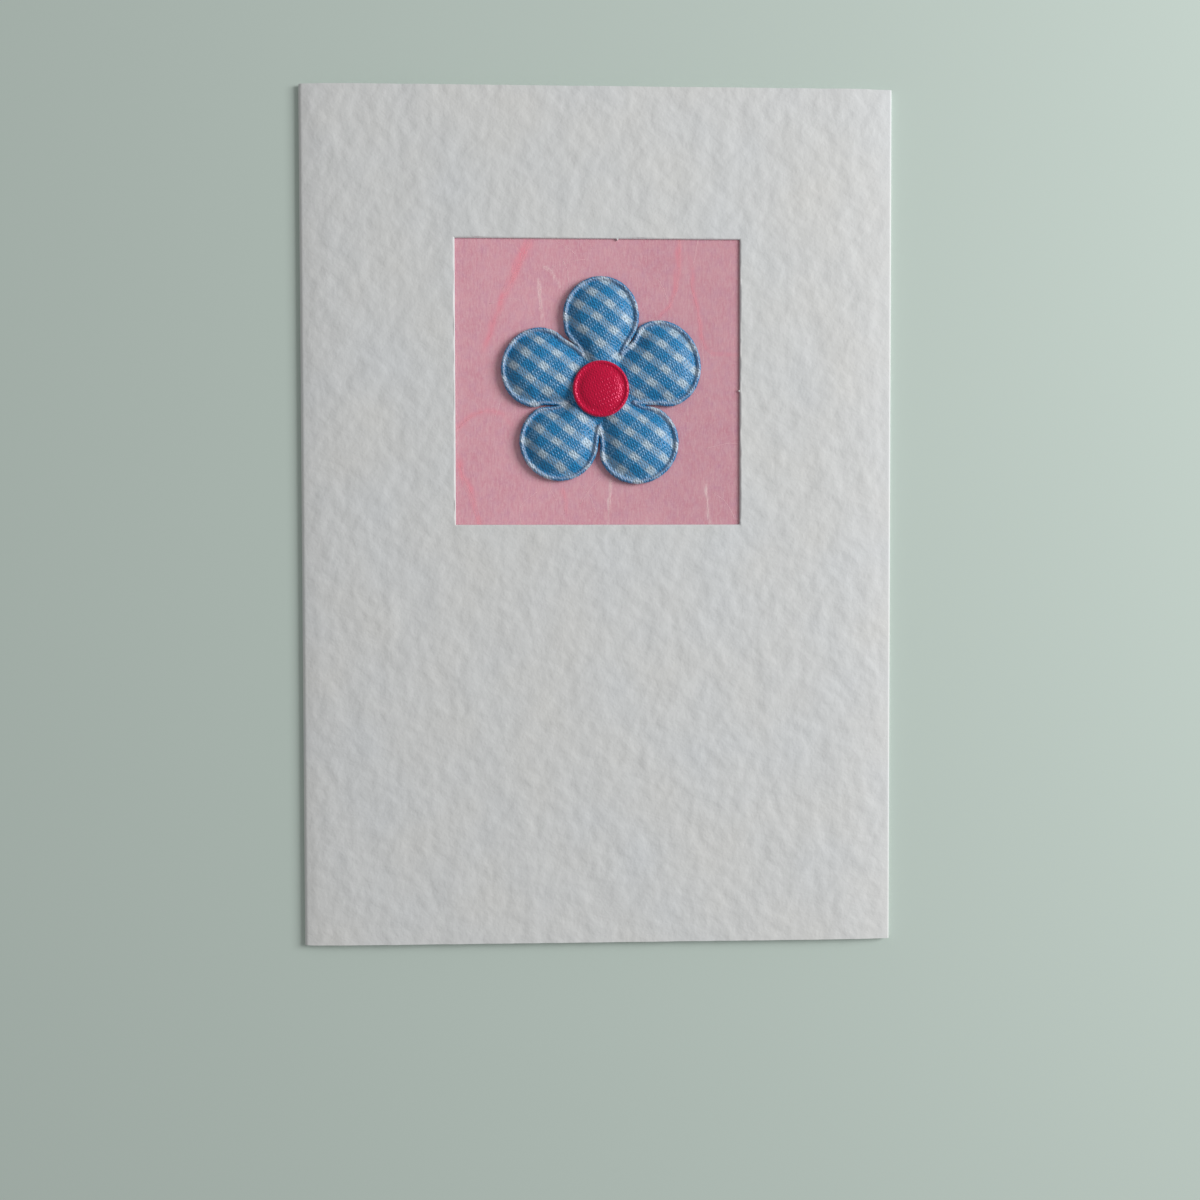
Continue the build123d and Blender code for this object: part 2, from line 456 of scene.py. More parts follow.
def mulberryPaper(m):
    material, tree = newMaterial("mulberry paper")  # matt pink, cloudy, with a fine upright grain, and painted shade towards the right
    where = coordsInMm(tree)
    cloud = noiseAt(tree, where, 1 / m["cloudSize"], 4.0, {"Roughness": 0.6})
    upright = addNode(tree, "ShaderNodeMapping", None, {
        "Vector": where, "Scale": (1 / m["grainWidth"], 1 / m["grainLength"], 1.0)})
    grain = noiseAt(tree, upright.outputs[0], 1.0, 3.0, {"Distortion": 0.9})
    speck = noiseAt(tree, where, 1 / m["speckSize"], 2.0)
    fibrous = calculate(tree, "MULTIPLY_ADD", speck, m["speckShare"], grain)
    cloudy = mapRange(tree, cloud, m["cloudRange"])
    colour = mixColour(tree, cloudy, hexToLinear(m["deep"]), hexToLinear(m["pink"]))
    blotch = noiseAt(tree, where, 1 / m["blotchSize"], 2.0)
    blotchy = mapRange(tree, blotch, m["blotchRange"], (0.0, m["blotchShare"]))
    colour = mixColour(tree, blotchy, colour, hexToLinear(m["mauve"]))
    grainy = mapRange(tree, fibrous, m["grainRange"], (0.0, m["grainShare"]))
    colour = mixColour(tree, grainy, colour, hexToLinear(m["pale"]))
    for layer, code in (("coral", m["coral"]), ("pale", m["streakPale"])):
        laid = addNode(tree, "ShaderNodeAttribute", {"attribute_name": layer})
        dense = calculate(tree, "MULTIPLY", laid.outputs["Fac"], m["streakStrength"])
        broken = addNode(tree, "ShaderNodeMath", {"operation": "MULTIPLY", "use_clamp": True}, {
            0: dense, 1: fibrous})
        colour = mixColour(tree, broken.outputs[0], colour, hexToLinear(code))
    # painted shade: the colour is scaled darker towards the right
    place = addNode(tree, "ShaderNodeSeparateXYZ", None, {0: where})
    shade = mapRange(tree, place.outputs["X"], m["paintedShadeRun"], (1.0, m["paintedShadeRight"]))
    paintedShadeColour = addNode(tree, "ShaderNodeVectorMath", {"operation": "SCALE"}, {0: colour, "Scale": shade})
    finishSurface(tree, {
        "Base Color": paintedShadeColour.outputs[0], "Roughness": 0.75, "IOR": 1.5, "Specular IOR Level": 0.3,
        "Normal": bumpFrom(tree, fibrous, m["grainDepth"])})
    return material


# Fibres in the paper's face, each a bundle of fine strands; points in mm from the window's middle
silk = {
    "coral": "#F899A8",
    "pale": "#FFE2E2",
    "fadesPerMm": 0.6,
    "strand": 0.05,  # mm thick
    "strandRange": (0.6, 1.2),  # uneven thickness
    "flatten": 0.4,
    "lift": 0.006,  # mm above the sheet
    "coralBundles": [  # strands, width, strength, points
        (7, 0.95, 1.0, [(-11.6, 26.4), (-13.2, 22.6), (-15.0, 18.8), (-17.2, 14.0), (-18.8, 9.8),
                        (-20.2, 5.6)]),
        (5, 0.55, 0.75, [(14.2, 26.4), (14.5, 20.7), (13.9, 16.6), (12.9, 13.6), (11.2, 11.6)]),
        (5, 0.7, 0.75, [(-24.8, -13.0), (-24.2, -16.2), (-22.5, -19.7), (-21.7, -22.7), (-20.7, -26.4)]),
        (4, 0.45, 0.7, [(16.4, 23.2), (16.7, 17.2), (17.9, 12.6), (18.5, 8.1), (19.0, 6.1), (20.7, 5.1),
                        (26.4, 5.0)]),
        (4, 0.6, 0.5, [(-26.4, -9.4), (-22.2, -5.9), (-19.7, -5.0), (-16.7, -5.6), (-15.2, -7.6)]),
        (3, 0.4, 0.6, [(-6.1, -18.2), (-5.6, -21.2), (-5.8, -23.8)]),
    ],
    "paleBundles": [
        (6, 0.22, 1.2, [(-10.4, 18.2), (-10.3, 15.6), (-9.9, 12.2), (-9.6, 10.2)]),
        (6, 0.22, 1.2, [(2.2, -17.2), (2.0, -21.2), (1.7, -26.4)]),
        (5, 0.22, 1.1, [(19.4, -18.2), (19.5, -21.2), (20.2, -26.4)]),
        (3, 0.22, 0.8, [(-10.1, 20.7), (-7.8, 19.2), (-6.6, 16.7)]),
    ],
    "knots": 7,  # points of a strand
    "startSpread": 0.2,  # strands start and stop at different places, so the bundle thins out
    "stopFrom": 0.4,
    "waver": 0.5,  # mm, how far a soft streak strays
    "waverSize": 2.5,
    "thinning": 0.5,  # a soft streak loses this share of its width and strength
    "startShare": 0.3,  # and starts faint
    "startRun": 0.2,
    "patchSize": (0.8, 2.2),  # mm, gaps in a soft streak
    "patchLevel": 0.8,
    "hairs": 28,  # single fine hairs strewn over the sheet
    "hairLength": 6.0,
    "hairBends": 4,
    "hairTurn": (90, 35),  # degrees, mean and spread
    "hairCurl": 0.25,  # radians at each bend
    "hairStride": (0.6, 1.4),
    "overlap": 1.0,  # mm under the window's edge
    "seed": 11,
}


def streak(s, bundles, x, y):
    strength = 0.0
    spot = Vector((x + s["waver"] * noise.noise((x / s["waverSize"], y / s["waverSize"], 1.0)), y))
    for _, width, weight, points in bundles:
        for i, (here, there) in enumerate(zip(points, points[1:])):
            here = Vector(here)
            run = Vector(there) - here
            at = clamped((spot - here).dot(run) / run.length_squared)
            away = (spot - here - run * at).length
            if away > 3 * width:
                continue
            along = (i + at) / (len(points) - 1)
            thin = 1 - s["thinning"] * along
            start = s["startShare"] + (1 - s["startShare"]) * smoothStep(0, s["startRun"], along)
            strength = max(strength, weight * start * thin * math.exp(-(away / (width * thin)) ** 2))
    patch = noise.noise((x / s["patchSize"][0], y / s["patchSize"][1], 6.0))
    return strength * (s["patchLevel"] + s["patchLevel"] * patch)


def paperSheet(m, s):
    low, high = nodeBox("backing_paper")
    middle = (low + high) / 2
    size = high.x - low.x
    bm = bmesh.new()
    cells = round(size / m["sheetGrid"])
    coral = bm.verts.layers.float.new("coral")
    pale = bm.verts.layers.float.new("pale")
    bmesh.ops.create_grid(bm, x_segments=cells, y_segments=cells, size=size / 2)
    for v in bm.verts:
        v[coral] = streak(s, s["coralBundles"], v.co.x, v.co.y)
        v[pale] = streak(s, s["paleBundles"], v.co.x, v.co.y)
    hem = bmesh.ops.extrude_edge_only(bm, edges=openEdges(bm))["geom"]
    bmesh.ops.translate(bm, verts=vertsIn(hem), vec=(0, 0, low.z - high.z))
    bmesh.ops.holes_fill(bm, edges=openEdges(bm))
    bmesh.ops.recalc_face_normals(bm, faces=bm.faces)
    bmesh.ops.translate(bm, verts=bm.verts, vec=(middle.x, middle.y, high.z))
    return meshFrom(bm, "mulberrySheet")


addPiece("mulberrySheet", paperSheet(mulberry, silk), mulberryPaper(mulberry),
         "backing_paper", sharpAngle=35)
print("paper laid")


def silkFibre(name, code):
    material, tree = newMaterial(name)  # soft strand, lighter in places
    where = coordsInMm(tree)
    fade = noiseAt(tree, where, silk["fadesPerMm"], 2.0)
    tone = mixColour(tree, fade, hexToLinear(code), hexToLinear(mulberry["pale"]))
    finishSurface(tree, {"Base Color": tone, "Roughness": 0.6, "IOR": 1.5, "Specular IOR Level": 0.3})
    return material


def bundleRoutes(s, bundles, draw):
    routes = []
    for strands, spread, _, points in bundles:
        for _ in range(strands):
            begin = draw.uniform(0, s["startSpread"])
            stop = draw.uniform(s["stopFrom"], 1.0)
            sideX = draw.gauss(0, spread / 2)
            sideY = draw.gauss(0, spread / 2)
            route = []
            for knot in range(s["knots"]):
                at = (begin + (stop - begin) * knot / (s["knots"] - 1)) * (len(points) - 1)
                i = min(int(at), len(points) - 2)
                spot = Vector(points[i]).lerp(Vector(points[i + 1]), at - i)
                route.append((spot.x + sideX + draw.gauss(0, spread / 8), spot.y + sideY))
            routes.append(route)
    return routes


def hairRoutes(s, hairs, half, draw):
    routes = []
    edge = half + s["overlap"]
    for _ in range(hairs):
        x = draw.uniform(-half, half)
        y = draw.uniform(-half, half)
        heading = math.radians(draw.gauss(*s["hairTurn"]))
        route = [(x, y)]
        for _ in range(s["hairBends"]):
            heading += draw.gauss(0, s["hairCurl"])
            stride = s["hairLength"] / s["hairBends"] * draw.uniform(*s["hairStride"])
            x += stride * math.cos(heading)
            y += stride * math.sin(heading)
            route.append((min(max(x, -edge), edge), min(max(y, -edge), edge)))
        routes.append(route)
    return routes


def layFibres(name, bundles, hairs, s, material):
    draw = random.Random(s["seed"] + hairs)
    half = blank["windowSide"] / 2
    windowY = nodeBox("card_blank")[1].y - blank["windowDrop"] - half
    paperTop = nodeBox("backing_paper")[1].z
    curve = bpy.data.curves.new(name + "Line", "CURVE")
    curve.dimensions = "3D"
    curve.bevel_depth = s["strand"] / 2
    curve.bevel_resolution = 1
    curve.resolution_u = 4
    for route in bundleRoutes(s, bundles, draw) + hairRoutes(s, hairs, half, draw):
        spline = curve.splines.new("NURBS")
        spline.points.add(len(route) - 1)
        for point, (x, y) in zip(spline.points, route):
            point.co = (x, y, 0, 1)
            point.radius = draw.uniform(*s["strandRange"])
        spline.order_u = 3
        spline.use_endpoint_u = True
    line = bpy.data.objects.new(name + "Line", curve)
    scene.collection.objects.link(line)
    mesh = evaluatedMesh(line)
    bpy.data.objects.remove(line)
    bm = bmesh.new()
    bm.from_mesh(mesh)
    bmesh.ops.scale(bm, vec=(1, 1, s["flatten"]), verts=bm.verts)
    bmesh.ops.holes_fill(bm, edges=openEdges(bm))
    bmesh.ops.recalc_face_normals(bm, faces=bm.faces)
    bmesh.ops.translate(bm, verts=bm.verts, vec=(0, windowY, paperTop + s["lift"]))
    bmesh.ops.scale(bm, vec=(mm, mm, mm), verts=bm.verts)
    bm.to_mesh(mesh)
    bm.free()
    addPiece(name, mesh, material)


layFibres("coralFibres", silk["coralBundles"], 0, silk, silkFibre("coral silk fibre", silk["coral"]))
layFibres("paleFibres", silk["paleBundles"], silk["hairs"], silk, silkFibre("pale silk fibre", silk["pale"]))
print("fibres laid")


# Satin weave of both cloths
satin = {
    "strayLength": 0.9,  # mm
    "stray": 0.16,  # mm, how far the threads wander
    "floatLength": 1.4,  # in threads
    "dashDepth": 0.6,
    "dashLevel": 0.4,
    "slubDepth": 2.4,
}

# Gingham satin: blue and white threads, the rows floating over the columns
gingham = {
    "blue": "#157AB0",
    "white": "#A6BDCE",
    "sheen": "#DDE6F4",
    "roughness": 0.36,
    "paintedSheenTone": "#E0DAE2",
    "paintedSheenShare": 0.27,  # painted highlight: pressed threads are drawn paler, standing for the sheen on the rim's slopes,
    "rimRoughness": 0.22,  # and are ironed shiny
    "rowTurn": 52.7,  # degrees, across the rows
    "rowPeriod": 3.11,  # mm
    "rowShift": 0.78,
    "rowEdge": (-0.75, 0.05),  # of the wave: from white to blue
    "columnTurn": 132.7,
    "columnPeriod": 3.76,
    "columnShift": 0.298,
    "columnEdge": (-0.65, 0.25),
    "sway": 0.35,  # mm, how far the checks wander
    "swaySize": 4.0,
    "blueEdge": (-0.1, 0.9),  # of the weave: where the columns come through blue rows
    "blueShares": (0.05, 0.34),
    "whiteEdge": (-0.5, 0.7),  # and through white rows
    "whiteShares": (0.4, 0.74),
    "threadTurns": (21.0, 130.0),
    "threadSize": 0.47,  # a little coarser than the real threads, which would be lost at this distance
    "threadDepth": 0.08,
    # painted glints and painted shade: the weave's specks scale the colour lighter and darker
    "paintedGlintShadeRange": (0.45, 1.6),
    "slubTurn": 40.0,
    "slubSize": (0.22, 0.45, 1.0),  # mm, uneven threads
}


def wave(tree, where, turn, period, shift=0.0):
    angle = math.radians(turn)
    along = addNode(tree, "ShaderNodeVectorMath", {"operation": "DOT_PRODUCT"}, {
        0: where, 1: (math.cos(angle), math.sin(angle), 0)})
    phase = calculate(tree, "MULTIPLY_ADD", along.outputs["Value"], 2 * math.pi / period, 2 * math.pi * shift)
    return calculate(tree, "SINE", phase)


def weave(tree, where, cloth):
    where = wander(tree, where, satin["strayLength"], satin["stray"])
    first = wave(tree, where, cloth["threadTurns"][0], cloth["threadSize"])
    second = wave(tree, where, cloth["threadTurns"][1], satin["floatLength"] * cloth["threadSize"])
    dash = calculate(tree, "MULTIPLY_ADD", second, satin["dashDepth"], satin["dashLevel"])
    dashes = calculate(tree, "MULTIPLY", first, dash)
    drawn = addNode(tree, "ShaderNodeMapping", {"vector_type": "TEXTURE"}, {
        "Vector": where, "Rotation": (0, 0, math.radians(cloth["slubTurn"])), "Scale": cloth["slubSize"]})
    slub = noiseAt(tree, drawn.outputs[0], 1.0, 1.0)
    uneven = calculate(tree, "SUBTRACT", slub, 0.5)
    return calculate(tree, "MULTIPLY_ADD", uneven, satin["slubDepth"], dashes)


# painted glints and painted shade: the colour is scaled up where the weave's specks would glint and down
# between the threads
def paintedGlintShade(tree, colour, lattice, tones):
    return addNode(tree, "ShaderNodeVectorMath", {"operation": "SCALE"}, {
        0: colour, "Scale": mapRange(tree, lattice, (-1.0, 1.0), tones)}).outputs[0]


def ginghamSatin(g, centre):
    material, tree = newMaterial("gingham satin")  # soft sheen, checks broken up by the satin's specks, which are painted glints and painted shade; the rim is painted paler as a highlight
    where = coordsInMm(tree, centre)
    sway = wander(tree, where, g["swaySize"], g["sway"])
    rowWave = wave(tree, sway, g["rowTurn"], g["rowPeriod"], g["rowShift"])
    columnWave = wave(tree, sway, g["columnTurn"], g["columnPeriod"], g["columnShift"])
    rows = mapRange(tree, rowWave, g["rowEdge"], kind="SMOOTHSTEP")
    columns = mapRange(tree, columnWave, g["columnEdge"], kind="SMOOTHSTEP")
    lattice = weave(tree, where, g)
    inBlue = mapRange(tree, lattice, g["blueEdge"], g["blueShares"], "SMOOTHSTEP")
    inWhite = mapRange(tree, lattice, g["whiteEdge"], g["whiteShares"], "SMOOTHSTEP")
    through = addNode(tree, "ShaderNodeMix", None, {0: rows, 2: inWhite, 3: inBlue}).outputs[0]
    white = hexToLinear(g["white"])
    blue = hexToLinear(g["blue"])
    rowColour = mixColour(tree, rows, white, blue)
    columnColour = mixColour(tree, columns, white, blue)
    colour = mixColour(tree, through, rowColour, columnColour)
    # painted highlight: the rim mask draws the rim paler, for the sheen on its slopes; it also lowers the
    # roughness there
    rim = addNode(tree, "ShaderNodeAttribute", {"attribute_name": "rim"}).outputs["Fac"]
    paintedRimSheen = calculate(tree, "MULTIPLY", rim, g["paintedSheenShare"])
    colour = mixColour(tree, paintedRimSheen, colour, hexToLinear(g["paintedSheenTone"]))
    ironed = mapRange(tree, rim, (0.0, 1.0), (g["roughness"], g["rimRoughness"]))
    finishSurface(tree, {
        "Base Color": paintedGlintShade(tree, colour, lattice, g["paintedGlintShadeRange"]), "Roughness": ironed,
        "IOR": 1.5, "Specular IOR Level": 0.5, "Sheen Weight": 0.3, "Sheen Roughness": 0.4,
        "Sheen Tint": hexToLinear(g["sheen"]), "Normal": bumpFrom(tree, lattice, g["threadDepth"] / 2)})
    return material


# Cerise satin: the same cloth in one colour
cerise = {
    "red": "#D0103E",
    "gloss": "#FF86B0",
    "deepShare": 0.85,
    "cloudsPerMm": 1.2,
    "threadTurns": (25.0, 118.0),
    "threadSize": 0.5,
    "threadDepth": 0.06,
    # painted glints and painted shade: the weave's specks scale the colour lighter and darker
    "paintedGlintShadeRange": (0.9, 1.09),
    "slubTurn": 40.0,
    "slubSize": (0.24, 0.42, 1.0),
    "puckerSize": 1.3,
    "puckerDepth": 0.035,
}


def ceriseSatin(c, centre):
    material, tree = newMaterial("cerise satin")  # deep pink-red, glints in the specks of the weave, partly from the bump and partly painted into the colour
    where = coordsInMm(tree, centre)
    lattice = weave(tree, where, c)
    red = hexToLinear(c["red"])
    cloud = noiseAt(tree, where, c["cloudsPerMm"], 2.0)
    colour = mixColour(tree, cloud, red, darker(red, c["deepShare"]))
    pucker = noiseAt(tree, where, 1 / c["puckerSize"], 2.0)
    drawnIn = bumpFrom(tree, pucker, c["puckerDepth"])
    finishSurface(tree, {
        "Base Color": paintedGlintShade(tree, colour, lattice, c["paintedGlintShadeRange"]), "Roughness": 0.27, "IOR": 1.5,
        "Specular IOR Level": 0.75, "Specular Tint": hexToLinear(c["gloss"]), "Sheen Weight": 0.5,
        "Sheen Roughness": 0.5, "Sheen Tint": hexToLinear(c["gloss"]),
        "Normal": bumpFrom(tree, lattice, c["threadDepth"] / 2, drawnIn)})
    return material


# Padded pieces: the solid's padding is blown up as cloth, then a fine sheet is laid over it and pressed
flower = {
    "node": "gingham_flower",
    "bearings": (90.0, 18.0, -54.0, -126.0, 162.0),
    "endDistance": 12.2,
    "endRadius": 6.9,
    "flare": 25.8,
    "slitEnd": 7.0,  # mm from the middle to the end of the cut between two petals
    "slitWidth": 0.2,
    "slitTaper": 0.5,  # the rims run together at its end
    "taperRun": 2.5,
    "slits": [(54.0, 1.8, 1.0), (-18.0, -6.5, 0.95), (-90.0, -0.4, 1.0),  # bearing, turn, share of the reach
              (-162.0, 8.8, 0.89), (126.0, -8.5, 0.89)],
    "slitSpan": 34,  # degrees to each side that go with a slit
    "slitReach": (11.5, 7.5),
    "joinReach": 7.6,  # inside this the petals are one
    "fray": 0.06,
    "fraysPerMm": 1.4,
    "uneven": [(88.7, 19.45, 6.72), (20.2, 18.6, 7.72), (-55.8, 19.2, 7.25),  # bearing, reach, end radius
               (-126.5, 19.0, 7.0), (162.9, 17.85, 7.06)],
    "unevenReach": (9.3, 13.0),
    "voxel": 0.3,
    "simScale": 15.0,  # cloth settings behave at the size of a cushion
    "pressure": 5.0,
    "cap": 0.6,
    "span": 42.0,
    "grid": 0.12,
    "rimWidth": 0.8,
    "rimHeight": 0.84,
    "rimEdge": 0.34,
    "grooveWidth": 0.3,
    "grooveHeight": 0.48,
    "shoulder": 0.35,
    "smooth": 6,
    "crownFrom": 1.8,  # above this the crown is pressed flatter
    "crown": 0.55,
    "seatRadius": 5.3,
}
roundPad = {
    "node": "flower_centre",
    "radius": 4.95,
    "voxel": 0.2,
    "simScale": 24.0,
    "pressure": 1.5,
    "cap": 0.06,
    "span": 11.0,
    "grid": 0.11,
    "rimWidth": 0.7,
    "rimHeight": 0.7,
    "rimEdge": 0.3,
    "grooveWidth": 0.24,
    "grooveHeight": 0.52,
    "shoulder": 0.3,
    "smooth": 16,
    "crownFrom": 0.8,
    "crown": 0.8,
}
padCloth = {
    "quality": 5,
    "mass": 0.3,
    "tension_stiffness": 15,
    "compression_stiffness": 15,
    "shear_stiffness": 5,
    "bending_stiffness": 0.5,
    "use_pressure": True,
    "vertex_group_mass": "pressed",
}
pressing = {
    "frames": 20,
    "upright": 0.1,  # only cloth that faces up is blown
    "freeRun": 0.5,  # mm over which it comes free of the groove
    "bead": 1.05,  # half width of the rim's round, in half rims
    "groove": (0.6, 1.05),  # in rims from the cut edge, as in the next two
    "rimInner": (1.1, 0.75),
    "rimOuter": (0.1, 0.6),
    "tuck": 0.12,  # mm that the padding reaches into the groove
    "probe": 0.01,  # mm, for the slope of the cut edge
    "leastSlope": 0.2,
    "hem": ((0.4, -0.03), (1.0, 0.06)),  # share of the edge's height, mm pulled in
}


def flowerEdge(f, x, y):
    reach = math.hypot(x, y)
    flare = math.radians(f["flare"])
    apex = f["endDistance"] - f["endRadius"] / math.sin(flare)
    sector = 2 * math.pi / len(f["bearings"])
    off = abs((math.atan2(y, x) - math.radians(f["bearings"][0]) + sector / 2) % sector - sector / 2)
    along = reach * math.cos(off)
    aside = reach * math.sin(off)
    if (along - f["endDistance"]) * math.cos(flare) + aside * math.sin(flare) > 0:
        inset = f["endRadius"] - math.hypot(along - f["endDistance"], aside)
    else:
        inset = (along - apex) * math.sin(flare) - aside * math.cos(flare)
    inset += f["fray"] * noise.noise((x * f["fraysPerMm"], y * f["fraysPerMm"], 3.1))
    runIn = reach * math.cos(sector / 2 - off)
    slit = math.hypot(max(f["slitEnd"] - runIn, 0), reach * math.sin(sector / 2 - off))
    slit += f["slitTaper"] * smoothStep(f["slitEnd"] + f["taperRun"], f["slitEnd"], runIn)
    return min(max(inset, f["joinReach"] - reach), slit - f["slitWidth"] / 2)


def roundEdge(r, x, y):
    return r["radius"] - math.hypot(x, y)


def edgeSlope(pad, edge, x, y):
    step = pressing["probe"]
    d = edge(pad, x, y)
    return d, Vector((edge(pad, x + step, y) - d, edge(pad, x, y + step) - d, 0)) / step


def blowUp(piece, pad, free):
    group = piece.vertex_groups.new(name=padCloth["vertex_group_mass"])
    for v in piece.data.vertices:
        group.add([v.index], 1.0 - free(v), "REPLACE")
    cloth = piece.modifiers.new("padding", "CLOTH")
    for name, value in padCloth.items():
        setattr(cloth.settings, name, value)
    cloth.settings.uniform_pressure_force = pad["pressure"]
    cloth.settings.effector_weights.gravity = 0
    cloth.collision_settings.use_collision = False
    for step in range(1, pressing["frames"] + 1):
        scene.frame_set(step)
    blown = evaluatedMesh(piece)
    scene.frame_set(1)
    piece.modifiers.remove(cloth)
    cap = pad["cap"] * mm * pad["simScale"]
    largest = 0.0
    for start, end in zip(piece.data.vertices, blown.vertices):
        move = end.co - start.co
        largest = max(largest, move.length)
        start.co += move * min(1.0, cap / max(move.length, 1e-9))
    bpy.data.meshes.remove(blown)
    print(pad["node"], "blown up, largest move", round(largest / pad["simScale"] / mm, 2), "mm")


def paddingShape(pad, centre, edge, seat):
    bm = bmesh.new()
    bm.from_mesh(cadNodes[pad["node"]].data)
    bmesh.ops.remove_doubles(bm, verts=bm.verts, dist=1e-6)
    bmesh.ops.translate(bm, verts=bm.verts, vec=-centre * mm)
    bmesh.ops.scale(bm, vec=[pad["simScale"]] * 3, verts=bm.verts)
    mesh = bpy.data.meshes.new(pad["node"] + "Start")
    bm.to_mesh(mesh)
    bm.free()
    work = bpy.data.objects.new(pad["node"] + "Work", mesh)
    scene.collection.objects.link(work)
    remesh = work.modifiers.new("voxels", "REMESH")
    remesh.mode = "VOXEL"
    remesh.voxel_size = pad["voxel"] * mm * pad["simScale"]
    work.data = evaluatedMesh(work)
    work.modifiers.remove(remesh)
    toMm = 1 / (mm * pad["simScale"])
    foot = pad["rimWidth"] + pad["grooveWidth"]

    def free(v):
        x, y = (v.co * toMm).xy
        underSeat = seat and math.hypot(x - seat[0], y - seat[1]) < seat[2]
        if v.normal.z < pressing["upright"] or underSeat:
            return 0.0
        return smoothStep(foot, foot + pressing["freeRun"], edge(pad, x, y))

    blowUp(work, pad, free)
    shape = bmesh.new()
    shape.from_mesh(work.data)
    bmesh.ops.scale(shape, vec=[toMm] * 3, verts=shape.verts)
    tree = BVHTree.FromBMesh(shape)
    shape.free()
    bpy.data.objects.remove(work)
    return tree


def pressedHeight(pad, d):
    middle = pad["rimWidth"] / 2
    bead = math.sqrt(max(1 - ((d - middle) / (middle * pressing["bead"])) ** 2, 0.0))
    rim = pad["rimEdge"] + (pad["rimHeight"] - pad["rimEdge"]) * bead
    start, end = pressing["groove"]
    inGroove = smoothStep(pad["rimWidth"] * start, pad["rimWidth"] * end, d)
    return rim + (pad["grooveHeight"] - rim) * inGroove


def unevenPetal(f, co):
    reach = math.hypot(co.x, co.y)
    angle = math.degrees(math.atan2(co.y, co.x))
    gaps = [(angle - b + 180) % 360 - 180 for b in f["bearings"]]
    i = min(range(len(gaps)), key=lambda k: abs(gaps[k]))
    bearing, petalReach, endRadius = f["uneven"][i]
    share = smoothStep(*f["unevenReach"], reach)
    for slitBearing, slitTurn, pull in f["slits"]:
        away = abs((angle - slitBearing + 180) % 360 - 180)
        near = smoothStep(f["slitSpan"], 0, away) * smoothStep(*f["slitReach"], reach)
        gaps[i] += near * slitTurn
        reach *= 1 + near * (pull - 1)
    a = reach * math.cos(math.radians(gaps[i]))
    c = reach * math.sin(math.radians(gaps[i]))
    a *= 1 + share * (petalReach / (f["endDistance"] + f["endRadius"]) - 1)
    c *= 1 + share * (endRadius / f["endRadius"] - 1)
    turn = math.radians(f["bearings"][i] + share * (bearing - f["bearings"][i]))
    return Vector((a * math.cos(turn) - c * math.sin(turn), a * math.sin(turn) + c * math.cos(turn), co.z))


def paddedPiece(pad, centre, edge, seat=None):
    shape = paddingShape(pad, centre, edge, seat)
    bm = bmesh.new()
    cells = round(pad["span"] / pad["grid"])
    bmesh.ops.create_grid(bm, x_segments=cells, y_segments=cells, size=pad["span"] / 2)
    outside = [f for f in bm.faces if edge(pad, *f.calc_center_median().xy) < 0]
    bmesh.ops.delete(bm, geom=outside, context="FACES")
    for v in bm.verts:
        if not v.is_boundary:
            continue
        for _ in range(3):  # the grid's steps are pulled out to the cut edge
            d, slope = edgeSlope(pad, edge, *v.co.xy)
            v.co -= slope * (d / max(slope.length_squared, pressing["leastSlope"]))
    foot = pad["rimWidth"] + pad["grooveWidth"]
    tucked = foot - pressing["tuck"]
    padding = []
    rim = bm.verts.layers.float.new("rim")
    for v in bm.verts:
        d = edge(pad, v.co.x, v.co.y)
        rims = d / pad["rimWidth"]
        # rim mask: where the rim is ironed shiny and where its painted highlight is drawn, out over the inner
        # slope
        v[rim] = smoothStep(*pressing["rimInner"], rims) * smoothStep(*pressing["rimOuter"], rims)
        low = pressedHeight(pad, d)
        hit = shape.ray_cast(Vector((v.co.x, v.co.y, 20)), Vector((0, 0, -1)))[0]
        v.co.z = low
        if hit and d > tucked:
            top = min(hit.z, pad["crownFrom"]) + pad["crown"] * max(hit.z - pad["crownFrom"], 0)
            v.co.z = low + max(top - low, 0) * smoothStep(tucked, foot + pad["shoulder"], d)
            padding.append(v)
    for _ in range(pad["smooth"]):
        bmesh.ops.smooth_vert(bm, verts=padding, factor=0.5, use_axis_z=True)
    for drop, pullIn in pressing["hem"]:  # soft cut edge down to the underside
        hem = bmesh.ops.extrude_edge_only(bm, edges=openEdges(bm))["geom"]
        for v in vertsIn(hem):
            v.co += edgeSlope(pad, edge, *v.co.xy)[1] * pullIn
            v.co.z = pad["rimEdge"] * (1 - drop)
    bmesh.ops.holes_fill(bm, edges=openEdges(bm))
    if "uneven" in pad:
        for v in bm.verts:
            v.co = unevenPetal(pad, v.co)
    bmesh.ops.recalc_face_normals(bm, faces=bm.faces)
    bmesh.ops.translate(bm, verts=bm.verts, vec=centre)
    return meshFrom(bm, pad["node"] + "Cloth")


def footOf(name):
    low, high = nodeBox(name)
    return Vector(((low.x + high.x) / 2, (low.y + high.y) / 2, low.z))


flowerFoot = footOf("glue_dot")  # the dot is in the flower's middle
flowerFoot.z = nodeBox("gingham_flower")[0].z
roundFoot = footOf("flower_centre")
seat = (roundFoot.x - flowerFoot.x, roundFoot.y - flowerFoot.y, flower["seatRadius"])
flowerMesh = paddedPiece(flower, flowerFoot, flowerEdge, seat)
flowerPiece = addPiece("ginghamFlower", flowerMesh, ginghamSatin(gingham, flowerFoot),
                       "gingham_flower")
roundMesh = paddedPiece(roundPad, roundFoot, roundEdge)
roundPiece = addPiece("satinRound", roundMesh, ceriseSatin(cerise, roundFoot),
                      "flower_centre")
print("pads:", len(flowerPiece.data.polygons), "and", len(roundPiece.data.polygons), "faces")


